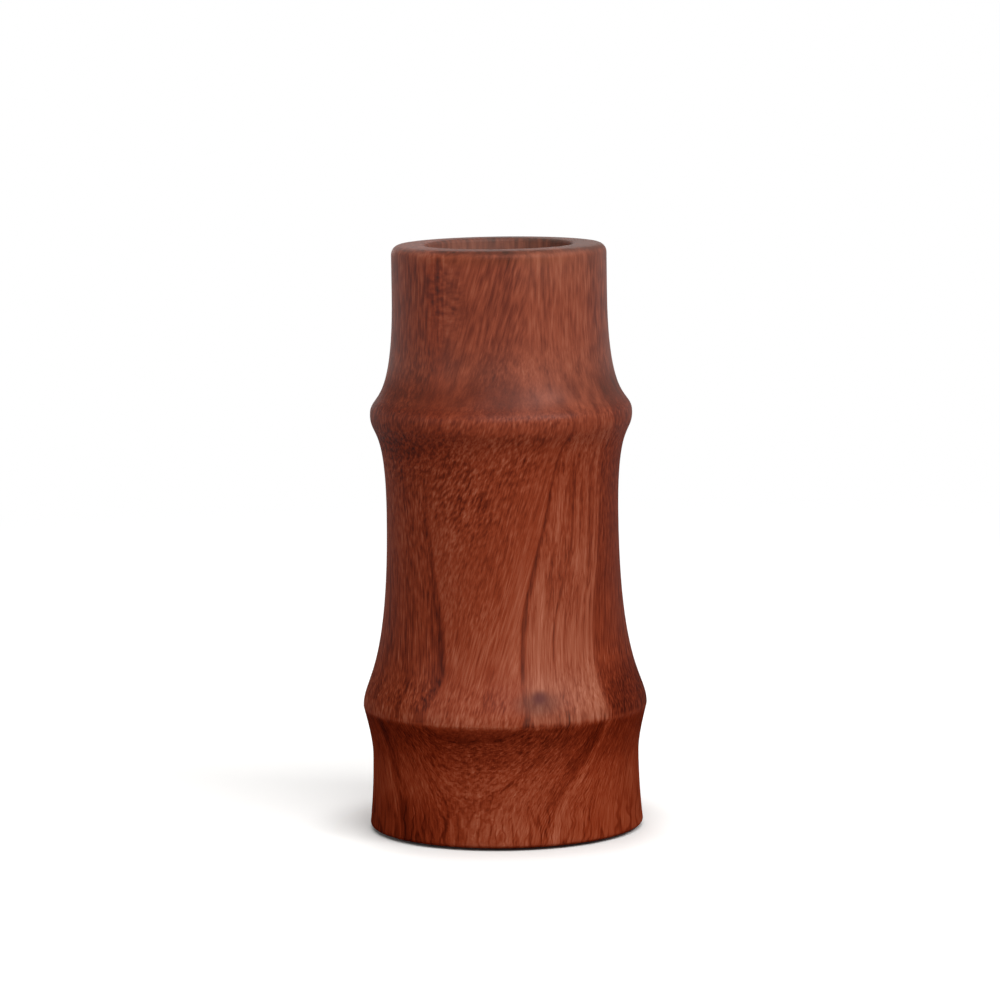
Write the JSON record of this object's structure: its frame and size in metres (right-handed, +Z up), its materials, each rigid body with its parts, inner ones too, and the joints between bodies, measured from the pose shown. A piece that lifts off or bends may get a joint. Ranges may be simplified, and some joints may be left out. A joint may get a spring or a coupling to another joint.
{
  "type": "wooden vase",
  "caption": "Turned hardwood flower vase in the form of a bamboo length, with raised rings, a thick rounded rim and a lift-out glass water liner.",
  "frame": {"origin": "centre of the felt face that the vase stands on", "axes": "+Z up along the axis that the vase was turned on, -Y towards the viewer of the picture"},
  "size_m": [0.0582, 0.0582, 0.12],
  "materials": {
    "red_hardwood": "satin, open pores",
    "plain_hardwood": "matt, unfinished",
    "dark_felt": "matt felt",
    "cork": "matt cork",
    "clear_glass": "clear, polished",
    "silicone": "matt silicone"
  },
  "bodies": {
    "vase": {"turned_body": "red_hardwood", "base_plug": "plain_hardwood", "base_felt": "dark_felt", "cork_seat": "cork"},
    "liner": {"glass_liner": "clear_glass", "grip_ring": "silicone"}
  },
  "joints": [
    {"name": "liner_lift", "type": "slide", "parent": "vase", "child": "liner", "axis": [0, 0, 1], "range_m": [0, 0.112]}
  ]
}
